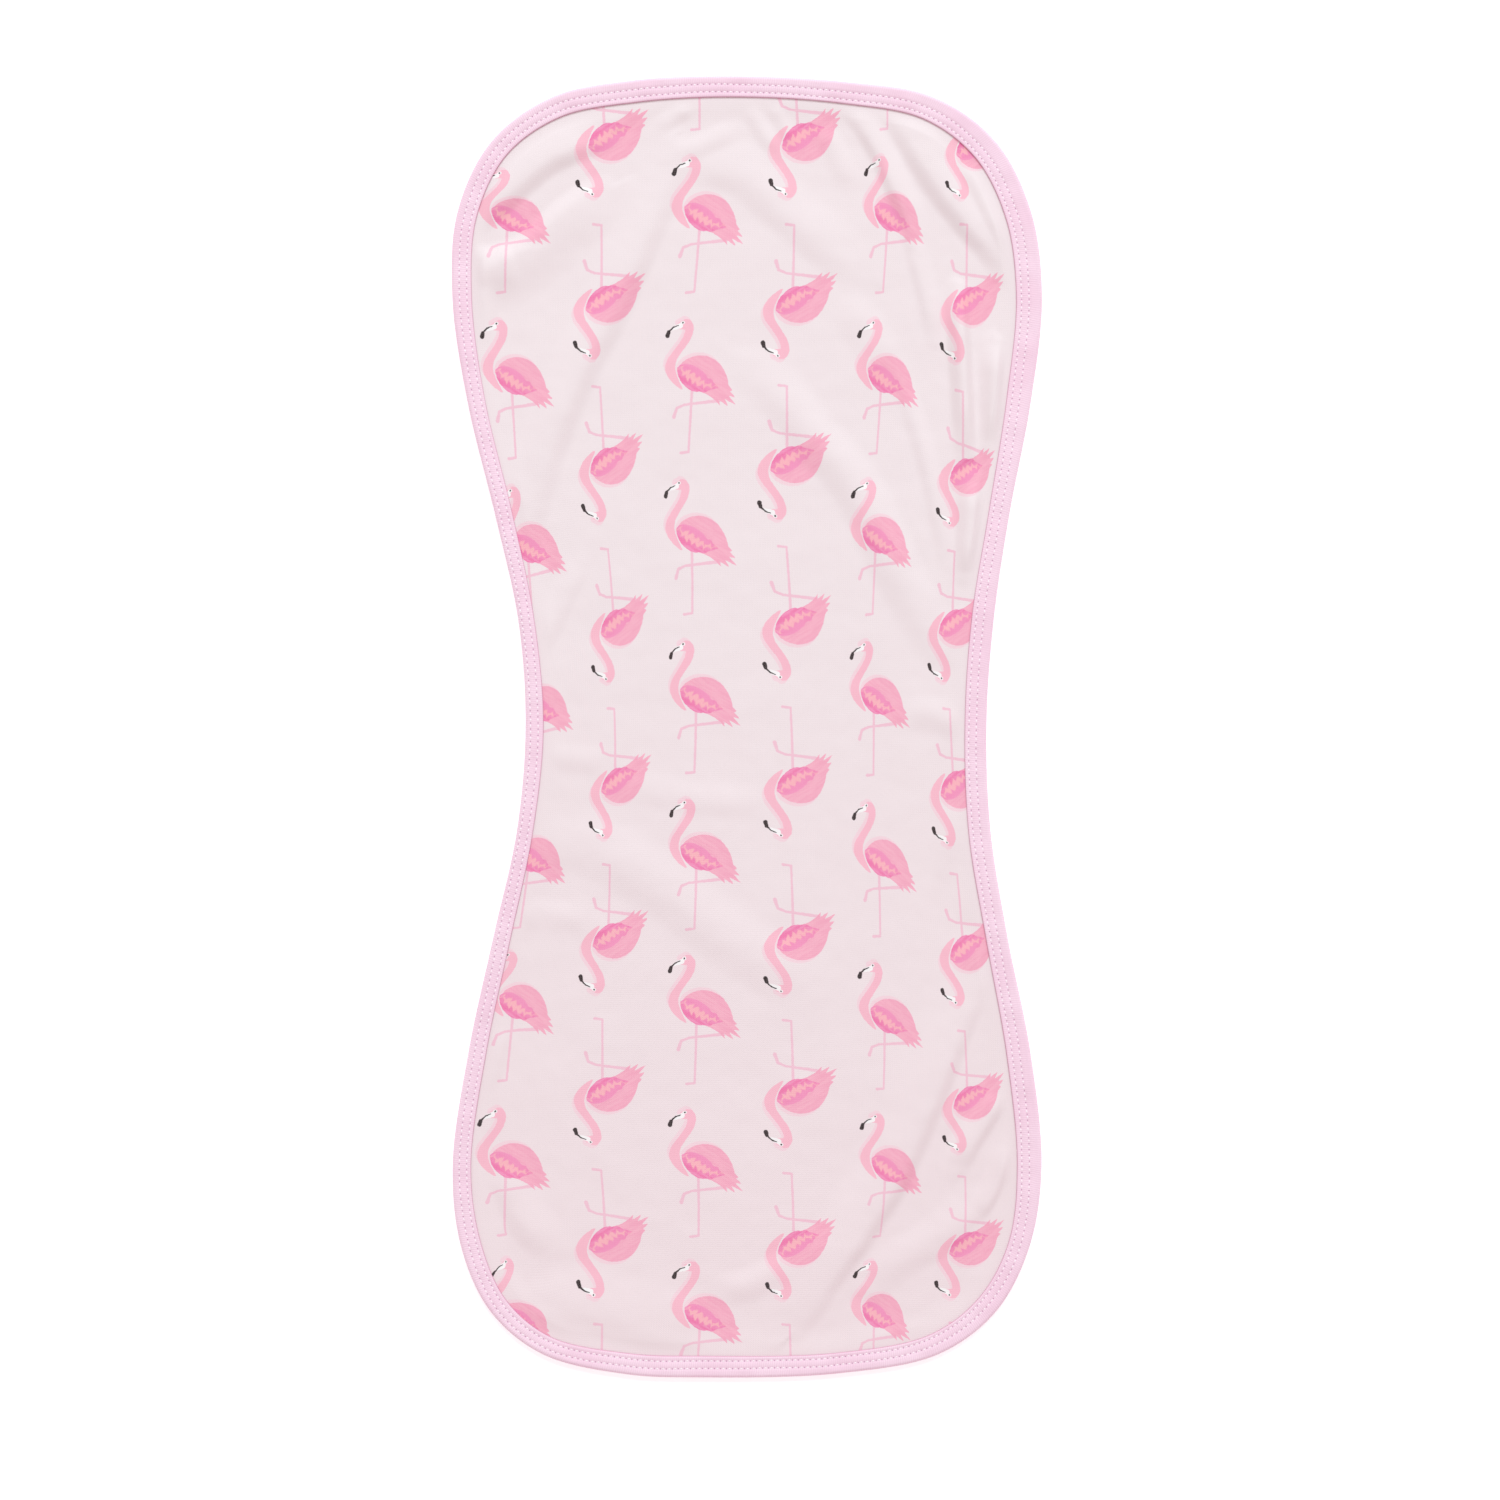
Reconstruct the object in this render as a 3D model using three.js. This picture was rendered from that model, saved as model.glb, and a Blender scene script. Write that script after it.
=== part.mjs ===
// A burp cloth lying flat: an hourglass of two-ply cotton knit, its cut edge wrapped all round in a
// folded knit binding. Millimetres. X runs across the cloth, Y along it and Z up from the surface
// that it lies on. The origin is the middle of the cloth, on that surface.

import * as THREE from 'three';

// The cloth and its binding
const PLIES = 2.2; // the two plies of the panel, lying together
const PLIES_STITCHED = 1.6; // the same plies pressed flat between the binding's legs
const LEG = 1.1; // each leg of the binding: one turned-under thickness of knit
const CLEAR = 0.3; // between the panel and the binding
const BINDING_HEIGHT = 2 * LEG + PLIES_STITCHED + 2 * CLEAR;
const NOSE = BINDING_HEIGHT / 2; // the round outer edge, where the binding folds over the plies
const LIP = 0.5; // how far the inner fold of the top leg is rounded off
const SLOT_END = 2.0; // from the outer edge to the bottom of the binding's slot
const SETTLE = 12; // how far inside the binding the panel takes to come down to the surface

// The outline, a row for each section across the cloth. along is the section's place on Y, left and
// right are where the outer edge lies on X, and the bands are the width of binding that shows there.
const SECTIONS = [
  { along: 271, left: -83.8, right: 80.4, leftBand: 9.6, rightBand: 10.6 },
  { along: 252, left: -109.8, right: 107.0, leftBand: 9.0, rightBand: 11.4 },
  { along: 222, left: -124.4, right: 122.3, leftBand: 8.7, rightBand: 11.4 },
  { along: 185, left: -126.7, right: 127.1, leftBand: 8.4, rightBand: 11.2 },
  { along: 140, left: -120.2, right: 122.3, leftBand: 7.6, rightBand: 10.6 },
  { along: 90, left: -108.0, right: 112.8, leftBand: 7.4, rightBand: 9.0 },
  { along: 45, left: -98.2, right: 106.2, leftBand: 6.9, rightBand: 9.6 },
  { along: 0, left: -95.2, right: 103.2, leftBand: 7.8, rightBand: 9.4 },
  { along: -45, left: -99.0, right: 105.0, leftBand: 7.0, rightBand: 9.6 },
  { along: -90, left: -109.0, right: 112.2, leftBand: 7.5, rightBand: 9.4 },
  { along: -140, left: -119.8, right: 122.1, leftBand: 7.7, rightBand: 10.4 },
  { along: -190, left: -126.6, right: 126.9, leftBand: 8.0, rightBand: 10.6 },
  { along: -225, left: -122.6, right: 121.3, leftBand: 8.8, rightBand: 9.3 },
  { along: -252, left: -110.0, right: 106.9, leftBand: 8.5, rightBand: 9.5 },
  { along: -270, left: -87.9, right: 82.5, leftBand: 8.4, rightBand: 9.3 },
];
const CORNER_SECTION = 1; // the rounded corners lie at this section, and at the same one from the end

// The two ends, from left to right: points of the outer edge and the band of binding there
const TOP_END = [
  { x: -48, y: 278.3, band: 9.8 },
  { x: -6, y: 280.0, band: 9.2 },
  { x: 42, y: 277.6, band: 9.6 },
];
const BOTTOM_END = [
  { x: -52, y: -278.6, band: 9.2 },
  { x: -20, y: -280.0, band: 9.4 },
  { x: 40, y: -278.2, band: 9.0 },
];

// The folds that stand up from the surface, a row for each. path is the crest as [x, y] points,
// height how far it lifts the cloth, and left and right how far the fold reaches to either side
// of someone walking along the crest.
const FOLDS = [
  { name: 'top left corner', height: 2.4, left: 12, right: 12,
    path: [[-104, 224], [-94, 239], [-80, 248], [-63, 255]] },
  { name: 'inside the top left corner', height: 2.0, left: 14, right: 15,
    path: [[-110, 187], [-95, 200], [-77, 210], [-61, 220]] },
  { name: 'left shoulder', height: 1.8, left: 10, right: 16,
    path: [[-89, 93], [-84, 119], [-77, 140], [-67, 160], [-54, 183], [-46, 203]] },
  { name: 'pucker at the top, to the left', height: 1.2, left: 12, right: 12,
    path: [[-46, 248], [-32, 257], [-18, 264]] },
  { name: 'pucker at the top, to the right', height: 2.2, left: 15, right: 13,
    path: [[-24, 248], [-2, 243], [15, 228], [32, 207], [48, 194]] },
  { name: 'first of the pair at the top right', height: 2.0, left: 12, right: 12,
    path: [[42, 264], [51, 250], [58, 234], [63, 220]] },
  { name: 'second of the pair at the top right', height: 3.4, left: 18, right: 14,
    path: [[66, 261], [75, 244], [87, 224], [100, 209], [111, 191]] },
  { name: 'right edge', height: 1.4, left: 12, right: 12,
    path: [[94, 161], [96, 141], [96, 119]] },
  { name: 'right shoulder', height: 3.0, left: 20, right: 16,
    path: [[1, 154], [23, 135], [43, 112], [57, 86], [71, 59], [82, 37]] },
  { name: 'right waist', height: 1.4, left: 12, right: 12,
    path: [[68, 7], [92, -1]] },
  { name: 'left of the lower half', height: 2.2, left: 20, right: 16,
    path: [[-89, -44], [-62, -56], [-39, -69], [-19, -84], [4, -101], [28, -113]] },
  { name: 'long one to the bottom', height: 3.4, left: 14, right: 20,
    path: [[98, -107], [90, -126], [80, -149], [71, -170], [64, -189], [52, -210], [41, -225],
      [29, -241], [21, -257]] },
  { name: 'bottom right corner', height: 2.2, left: 14, right: 14,
    path: [[106, -191], [95, -210], [84, -222], [68, -235], [53, -242]] },
  { name: 'bottom left corner', height: 3.0, left: 15, right: 14,
    path: [[-106, -199], [-100, -219], [-87, -236], [-65, -248], [-39, -252], [-18, -249]] },
];
const FOLD_STEPS = 20; // straight steps along a crest
const FOLD_END = 0.3; // share of a crest over which it rises from nothing at either end

// How finely the solids are cut
const STEPS_ACROSS = 28; // of the outline's two ends
const STEPS_ALONG = 60; // of its two long sides
const STEPS_PER_SECTION = 20; // used only to measure along the outline
const COLLAR = 5; // from the binding's inner edge to the panel's regular grid
const MOUTH = 0.6; // inside the binding's inner edge, where the panel is still level with the slot

// Finishes
const PRINTED_KNIT = { color: '#f4e8eb', roughness: 0.95, metalness: 0 };
const PINK_BINDING = { color: '#f7cde5', roughness: 0.9, metalness: 0 };

// The outer edge as one closed curve, anticlockwise from the lower left corner. Z carries the band.
const down = (side) => SECTIONS.map((s) => new THREE.Vector3(s[side], s.along, s[side + 'Band']));
const end = (points) => points.map((p) => new THREE.Vector3(p.x, p.y, p.band));
const lastSection = SECTIONS.length - 1;
const leftSide = down('left');
const edgePoints = [
  ...leftSide.slice(lastSection - CORNER_SECTION),
  ...end(BOTTOM_END),
  ...down('right').reverse(),
  ...end(TOP_END).reverse(),
  ...leftSide.slice(0, lastSection - CORNER_SECTION),
];
const edge = new THREE.CatmullRomCurve3(edgePoints, true, 'centripetal');
edge.arcLengthDivisions = edgePoints.length * STEPS_PER_SECTION;
const walked = edge.getLengths();

// The share of the way round at which the curve passes its point number k
function shareAt(k) {
  return walked[k * STEPS_PER_SECTION] / walked.at(-1);
}

// The four sides between the corners, each a stretch of the way round and its number of steps
const toRightCorner = CORNER_SECTION + BOTTOM_END.length + CORNER_SECTION + 1;
const longSide = lastSection - 2 * CORNER_SECTION;
const corners = [0, toRightCorner, toRightCorner + longSide, 2 * toRightCorner + longSide];
const SIDES = [
  { from: shareAt(corners[0]), to: shareAt(corners[1]), steps: STEPS_ACROSS },
  { from: shareAt(corners[1]), to: shareAt(corners[2]), steps: STEPS_ALONG },
  { from: shareAt(corners[2]), to: shareAt(corners[3]), steps: STEPS_ACROSS },
  { from: shareAt(corners[3]), to: 1, steps: STEPS_ALONG },
];

// A place on the outer edge, with the direction that points into the cloth there
function station(share) {
  const at = edge.getPointAt(share);
  const along = edge.getTangentAt(share).setZ(0).normalize();
  return { x: at.x, y: at.y, band: at.z, inX: -along.y, inY: along.x };
}
const stations = SIDES.flatMap(({ from, to, steps }) =>
  Array.from({ length: steps }, (_, i) => station(from + ((to - from) * i) / steps)),
);

// The point that lies a distance inside the outer edge
function insetPoint(s, inset) {
  return [s.x + s.inX * inset, s.y + s.inY * inset];
}

// How far a point lies inside the binding's inner edge
const outlineSamples = edge.getSpacedPoints(600);
function roomInside(x, y) {
  let least = Infinity;
  for (const p of outlineSamples) least = Math.min(least, Math.hypot(x - p.x, y - p.y) - p.z);
  return least;
}

// Each crest as short straight steps
const crests = FOLDS.map((fold) => {
  const points = fold.path.map(([x, y]) => new THREE.Vector3(x, y, 0));
  return { ...fold, steps: new THREE.CatmullRomCurve3(points).getSpacedPoints(FOLD_STEPS) };
});

// The nearest place on a crest: its distance, which side of it the point is on, and how far along
function nearestOn(crest, x, y) {
  const best = { distance: Infinity, side: 'left', share: 0 };
  for (let i = 0; i < FOLD_STEPS; i += 1) {
    const a = crest.steps[i];
    const b = crest.steps[i + 1];
    const dx = b.x - a.x;
    const dy = b.y - a.y;
    const t = ((x - a.x) * dx + (y - a.y) * dy) / (dx * dx + dy * dy);
    const held = THREE.MathUtils.clamp(t, 0, 1);
    const distance = Math.hypot(x - a.x - held * dx, y - a.y - held * dy);
    if (distance < best.distance) {
      best.distance = distance;
      best.side = dx * (y - a.y) - dy * (x - a.x) > 0 ? 'left' : 'right';
      best.share = (i + held) / FOLD_STEPS;
    }
  }
  return best;
}

// How far the folds lift the cloth at a point
function lift(x, y) {
  let total = 0;
  for (const crest of crests) {
    const { distance, side, share } = nearestOn(crest, x, y);
    const reach = distance / crest[side];
    if (reach >= 1) continue;
    const rise = THREE.MathUtils.smoothstep(Math.min(share, 1 - share), -FOLD_END / 2, FOLD_END);
    total += crest.height * rise * (1 - reach * reach) ** 2;
  }
  return total;
}

// The panel's underside and top at a point: level with the slot at the binding, then down onto the
// surface, where it lies flat but for the folds
function panelLevels(x, y) {
  const settled = THREE.MathUtils.smoothstep(roomInside(x, y), MOUTH, SETTLE);
  const under = THREE.MathUtils.lerp(LEG + CLEAR, lift(x, y), settled);
  const thickness = THREE.MathUtils.lerp(PLIES_STITCHED, PLIES, settled);
  return { under, top: under + thickness };
}

// A closed mesh from corner positions and triangles
function meshOf(name, positions, triangles, finish) {
  const geometry = new THREE.BufferGeometry();
  geometry.setAttribute('position', new THREE.Float32BufferAttribute(positions, 3));
  geometry.setIndex(triangles);
  geometry.computeVertexNormals();
  const mesh = new THREE.Mesh(geometry, new THREE.MeshStandardMaterial(finish));
  mesh.name = name;
  return mesh;
}

// The regular grid of the panel: a patch stretched between the four sides of its own outline, so
// that its lines follow the waist and the round corners
function gridPoint(collar, i, j) {
  const u = i / STEPS_ACROSS;
  const v = j / STEPS_ALONG;
  const round = stations.length;
  const bottom = collar[i];
  const right = collar[STEPS_ACROSS + j];
  const top = collar[2 * STEPS_ACROSS + STEPS_ALONG - i];
  const left = collar[(round - j) % round];
  const [a, b] = [collar[0], collar[STEPS_ACROSS]];
  const [c, d] = [collar[STEPS_ACROSS + STEPS_ALONG], collar[2 * STEPS_ACROSS + STEPS_ALONG]];
  return [0, 1].map((k) =>
    (1 - v) * bottom[k] + v * top[k] + (1 - u) * left[k] + u * right[k]
    - (1 - v) * ((1 - u) * a[k] + u * b[k]) - v * ((1 - u) * d[k] + u * c[k]));
}

// The panel: one sheet whose outermost ring lies in the binding's slot
function panel() {
  const plan = []; // each point once, seen from above; the underside repeats the same points
  const rings = [
    stations.map((s) => insetPoint(s, SLOT_END + CLEAR)),
    stations.map((s) => insetPoint(s, s.band + MOUTH)),
    stations.map((s) => insetPoint(s, s.band + COLLAR)),
  ];
  const round = stations.length;
  for (const ring of rings) plan.push(...ring);

  const collar = rings[2];
  const gridStart = plan.length;
  for (let j = 1; j < STEPS_ALONG; j += 1)
    for (let i = 1; i < STEPS_ACROSS; i += 1) plan.push(gridPoint(collar, i, j));

  // The number of a grid point, which on the grid's rim is a point of the collar
  const collarStart = 2 * round;
  function gridNumber(i, j) {
    if (j === 0) return collarStart + i;
    if (i === STEPS_ACROSS) return collarStart + STEPS_ACROSS + j;
    if (j === STEPS_ALONG) return collarStart + 2 * STEPS_ACROSS + STEPS_ALONG - i;
    if (i === 0) return collarStart + round - j;
    return gridStart + (j - 1) * (STEPS_ACROSS - 1) + i - 1;
  }

  const levels = plan.map(([x, y]) => panelLevels(x, y));
  const faces = [];
  function quad(a, b, c, d) {
    faces.push([a, b, c], [a, c, d]);
  }
  for (let ring = 0; ring < 2; ring += 1)
    for (let k = 0; k < round; k += 1) {
      const outer = ring * round;
      const next = (k + 1) % round;
      quad(outer + k, outer + next, outer + round + next, outer + round + k);
    }
  for (let j = 0; j < STEPS_ALONG; j += 1)
    for (let i = 0; i < STEPS_ACROSS; i += 1) {
      const [a, b, c, d] = [[i, j], [i + 1, j], [i + 1, j + 1], [i, j + 1]].map((p) => gridNumber(...p));
      // A cell is cut between its two corners that are nearer in height, so that crests stay whole,
      // but at the outline's corners away from the corner
      const inCorner = (i === 0 || i === STEPS_ACROSS - 1) && (j === 0 || j === STEPS_ALONG - 1);
      const drop = (p, q) => Math.abs(levels[p].top - levels[q].top);
      const turned = inCorner ? (i === 0) !== (j === 0) : drop(b, d) < drop(a, c);
      if (turned) quad(b, c, d, a);
      else quad(a, b, c, d);
    }

  const count = plan.length;
  const positions = [
    ...plan.flatMap(([x, y], k) => [x, y, levels[k].top]),
    ...plan.flatMap(([x, y], k) => [x, y, levels[k].under]),
  ];
  const triangles = faces.flatMap(([a, b, c]) => [a, b, c, count + a, count + c, count + b]);
  for (let k = 0; k < round; k += 1) {
    const next = (k + 1) % round;
    triangles.push(k, count + next, next, k, count + k, count + next);
  }
  return meshOf('panel', positions, triangles, PRINTED_KNIT);
}

// The binding's section: how far inside the outer edge, and how high. It starts at the inner end of
// the lower leg, runs round the slot and the upper leg, and comes back over the round nose.
function bindingSection(band) {
  const upperLeg = BINDING_HEIGHT - LEG;
  const nose = [90, 135, 180, 225, 270].map((degrees) => {
    const angle = THREE.MathUtils.degToRad(degrees);
    return [NOSE + NOSE * Math.cos(angle), NOSE + NOSE * Math.sin(angle)];
  });
  return [
    [band, 0],
    [band, LEG],
    [SLOT_END, LEG],
    [SLOT_END, upperLeg],
    [band, upperLeg],
    [band, BINDING_HEIGHT - LIP],
    [band - LIP, BINDING_HEIGHT],
    ...nose,
  ];
}

// The binding: its section carried once round the outer edge
function binding() {
  const positions = stations.flatMap((s) =>
    bindingSection(s.band).flatMap(([inset, height]) => [...insetPoint(s, inset), height]));
  const corner = bindingSection(SLOT_END).length;
  const triangles = [];
  for (let k = 0; k < stations.length; k += 1) {
    const here = k * corner;
    const next = ((k + 1) % stations.length) * corner;
    for (let i = 0; i < corner; i += 1) {
      const j = (i + 1) % corner;
      triangles.push(here + i, next + j, next + i, here + i, here + j, next + j);
    }
  }
  return meshOf('binding', positions, triangles, PINK_BINDING);
}

const burpCloth = new THREE.Group();
burpCloth.add(panel(), binding());

export default burpCloth;
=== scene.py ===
# %% [markdown]
# # A burp cloth, from its CAD frame to its finished look
# The real thing is an hourglass of soft cotton knit with birds printed on it. A strip of pink knit is
# folded over its edge all the way round, and two rows of stitching hold it. The cloth lies loose on a
# table, and low folds run over it. The CAD model gives its outline, its height and its main folds.
# This lesson adds the cloth, the print, the binding and the thread. Everything is in metres, Z is up
# from the table, and tables of places on the cloth are in millimetres, because sewing is measured so.

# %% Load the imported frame
import math

import bmesh
import bpy
import numpy as np
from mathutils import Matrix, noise


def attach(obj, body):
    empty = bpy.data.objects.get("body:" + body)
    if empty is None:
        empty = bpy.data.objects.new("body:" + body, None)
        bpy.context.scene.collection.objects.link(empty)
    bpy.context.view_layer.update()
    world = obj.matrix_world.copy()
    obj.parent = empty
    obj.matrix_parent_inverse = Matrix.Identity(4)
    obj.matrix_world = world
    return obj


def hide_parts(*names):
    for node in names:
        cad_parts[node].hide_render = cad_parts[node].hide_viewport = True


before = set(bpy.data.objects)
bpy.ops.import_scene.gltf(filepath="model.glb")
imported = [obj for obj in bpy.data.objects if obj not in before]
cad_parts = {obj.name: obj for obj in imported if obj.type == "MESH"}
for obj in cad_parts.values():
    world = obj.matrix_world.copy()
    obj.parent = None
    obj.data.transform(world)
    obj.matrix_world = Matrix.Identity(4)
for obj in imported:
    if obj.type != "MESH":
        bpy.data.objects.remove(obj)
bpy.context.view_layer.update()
MM = 0.001

# %% [markdown]
# ## Camera
# The photograph looks straight down on the cloth. A camera at some height with a long lens shows it
# with hardly any perspective, and no turn is needed, because a new camera looks down by itself. The
# cloth fills 1302 of the picture's 1500 pixels, so the picture is 645 mm wide. That width and the lens
# give the height.

# %% Place the camera over the cloth
PICTURE_WIDTH = 645.2 * MM
PICTURE_MIDDLE = (1.4 * MM, -10.0 * MM)
LENS = 85.0
SENSOR = 36.0
CLOTH_LEVEL = 3.0 * MM
NEAREST = 0.1
FARTHEST = 300.0
camera_height = PICTURE_WIDTH * LENS / SENSOR + CLOTH_LEVEL
bpy.ops.object.camera_add(location=(*PICTURE_MIDDLE, camera_height), rotation=(0, 0, 0))
camera = bpy.context.object
camera.data.lens = LENS
camera.data.sensor_width = SENSOR
camera.data.clip_start = NEAREST
camera.data.clip_end = FARTHEST
bpy.context.scene.camera = camera
print("camera height, m:", round(camera_height, 3))

# %% [markdown]
# ## Studio
# The picture was taken on white, with one large soft light beyond the cloth's top end and bright
# surroundings that fill the shadows. A broad area lamp far away gives the same even light, only a
# little stronger at the top. Thin pink cloth glows a little where it turns from the light, so the
# shadows are rosy: the lamp is a touch cool and the surroundings a touch warm, and both together are
# white. The standard view transform shows colours as they are, without the film look that would grey
# a white floor.

# %% A floor, a soft lamp and a bright surrounding
FLOOR_SIDE = 200.0
FLOOR_LEVEL = -0.1 * MM
LAMP_DISTANCE = 6.5
LAMP_SIDE = 3.2
LAMP_AZIMUTH = math.radians(6)
LAMP_ELEVATION = math.radians(44)
LAMP_POWER = 269.0
LAMP_COLOUR = (0.80, 1.0, 1.0)
SURROUNDING = 0.723
SURROUNDING_COLOUR = (1.0, 0.892, 0.892, 1.0)
FLOOR_GLOW = 0.32


def deselect():
    """The frame's own nodes come in selected, and an operator acts on all that is selected."""
    for other in bpy.context.selected_objects:
        other.select_set(False)


deselect()
bpy.ops.mesh.primitive_plane_add(size=FLOOR_SIDE, location=(0, 0, FLOOR_LEVEL))
bpy.ops.object.transform_apply(location=True, rotation=True, scale=True)
floor = bpy.context.object
floor.name = "floor"

away = (
    math.sin(LAMP_AZIMUTH) * math.cos(LAMP_ELEVATION),
    math.cos(LAMP_AZIMUTH) * math.cos(LAMP_ELEVATION),
    math.sin(LAMP_ELEVATION),
)
lamp_place = [LAMP_DISTANCE * part for part in away]
lamp_turn = (math.pi / 2 - LAMP_ELEVATION, 0, math.pi - LAMP_AZIMUTH)
bpy.ops.object.light_add(type="AREA", location=lamp_place, rotation=lamp_turn)
lamp = bpy.context.object
lamp.data.size = LAMP_SIDE
lamp.data.energy = LAMP_POWER
lamp.data.color = LAMP_COLOUR

world = bpy.data.worlds.new("studio")
world.use_nodes = True
backdrop = world.node_tree.nodes["Background"]
backdrop.inputs["Color"].default_value = SURROUNDING_COLOUR
backdrop.inputs["Strength"].default_value = SURROUNDING
bpy.context.scene.world = world
bpy.context.scene.view_settings.view_transform = "Standard"
print("lamp at, m:", [round(v, 2) for v in lamp_place])

# %% [markdown]
# ## The outline
# A maker cuts an hourglass from a paper pattern: measured widths at several places along it, joined by
# a smooth curve. The same table that made the CAD model is repeated here, because the cloth must fit
# the frame. Each row also says how wide the binding shows at that place, which varies, since it was
# sewn on by hand past the needle.

# %% The pattern's widths and its two ends
# Each row: place along the cloth, left edge, right edge, binding shown at the left and at the right
SECTIONS = [
    (271, -83.8, 80.4, 9.6, 10.6),
    (252, -109.8, 107.0, 9.0, 11.4),
    (222, -124.4, 122.3, 8.7, 11.4),
    (185, -126.7, 127.1, 8.4, 11.2),
    (140, -120.2, 122.3, 7.6, 10.6),
    (90, -108.0, 112.8, 7.4, 9.0),
    (45, -98.2, 106.2, 6.9, 9.6),
    (0, -95.2, 103.2, 7.8, 9.4),
    (-45, -99.0, 105.0, 7.0, 9.6),
    (-90, -109.0, 112.2, 7.5, 9.4),
    (-140, -119.8, 122.1, 7.7, 10.4),
    (-190, -126.6, 126.9, 8.0, 10.6),
    (-225, -122.6, 121.3, 8.8, 9.3),
    (-252, -110.0, 106.9, 8.5, 9.5),
    (-270, -87.9, 82.5, 8.4, 9.3),
]
# Points of the edge from left to right, each with the width of its binding
TOP_END = [(-48, 278.3, 9.8), (-6, 280.0, 9.2), (42, 277.6, 9.6)]
BOTTOM_END = [(-52, -278.6, 9.2), (-20, -280.0, 9.4), (40, -278.2, 9.0)]

left_side = [(left, along, band) for along, left, _, band, _ in SECTIONS]
right_side = [(right, along, band) for along, _, right, _, band in SECTIONS]
edge_points = [
    *left_side[13:],
    *BOTTOM_END,
    *right_side[::-1],
    *TOP_END[::-1],
    *left_side[:13],
]
CORNER_POINTS = [0, 6, 18, 24]
print("points round the edge:", len(edge_points))

# %% A smooth curve through them
STEPS_PER_POINT = 48


def smooth_curve(points, steps, closed):
    """A centripetal Catmull-Rom curve through the points, which doesn't overshoot at uneven gaps."""
    points = np.asarray(points, float)
    if not closed:
        points = np.vstack([2 * points[0] - points[1], points, 2 * points[-1] - points[-2]])
    before, start, end, after = (np.roll(points, k, axis=0) for k in (1, 0, -1, -2))
    if not closed:
        before, start, end, after = (part[1:-2] for part in (before, start, end, after))
    gaps = [
        np.linalg.norm(b - a, axis=1)[:, None] ** 0.5
        for a, b in ((before, start), (start, end), (end, after))
    ]
    leaving, arriving = (
        gaps[1] * ((b - a) / first - (c - a) / (first + second) + (c - b) / second)
        for a, b, c, first, second in (
            (before, start, end, *gaps[:2]), (start, end, after, *gaps[1:])
        )
    )
    t = np.linspace(0, 1, steps, endpoint=False)[None, :, None]
    square = -3 * start + 3 * end - 2 * leaving - arriving
    cube = 2 * start - 2 * end + leaving + arriving
    terms = enumerate((start, leaving, square, cube))
    curve = sum(term[:, None] * t**power for power, term in terms).reshape(-1, points.shape[1])
    if not closed:
        curve = np.vstack([curve, points[-2]])
    return curve


edge = smooth_curve(edge_points, STEPS_PER_POINT, closed=True)
edge_closed = np.vstack([edge, edge[:1]])
walked = np.concatenate(
    [[0], np.cumsum(np.linalg.norm(np.diff(edge_closed[:, :2], axis=0), axis=1))]
)
perimeter = walked[-1]
print("round the edge, mm:", round(perimeter, 1))

# %% Stations along the edge
TANGENT_REACH = 1.5


def stations_at(distances):
    """Places on the outer edge: the point, the direction that points into the cloth, the band."""
    def place(distance):
        return np.stack(
            [np.interp(distance % perimeter, walked, edge_closed[:, k]) for k in range(3)], axis=1
        )

    here = place(distances)
    along = (place(distances + TANGENT_REACH) - place(distances - TANGENT_REACH))[:, :2]
    along /= np.linalg.norm(along, axis=1)[:, None]
    inward = np.stack([-along[:, 1], along[:, 0]], axis=1)
    return here[:, :2], inward, here[:, 2]
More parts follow.
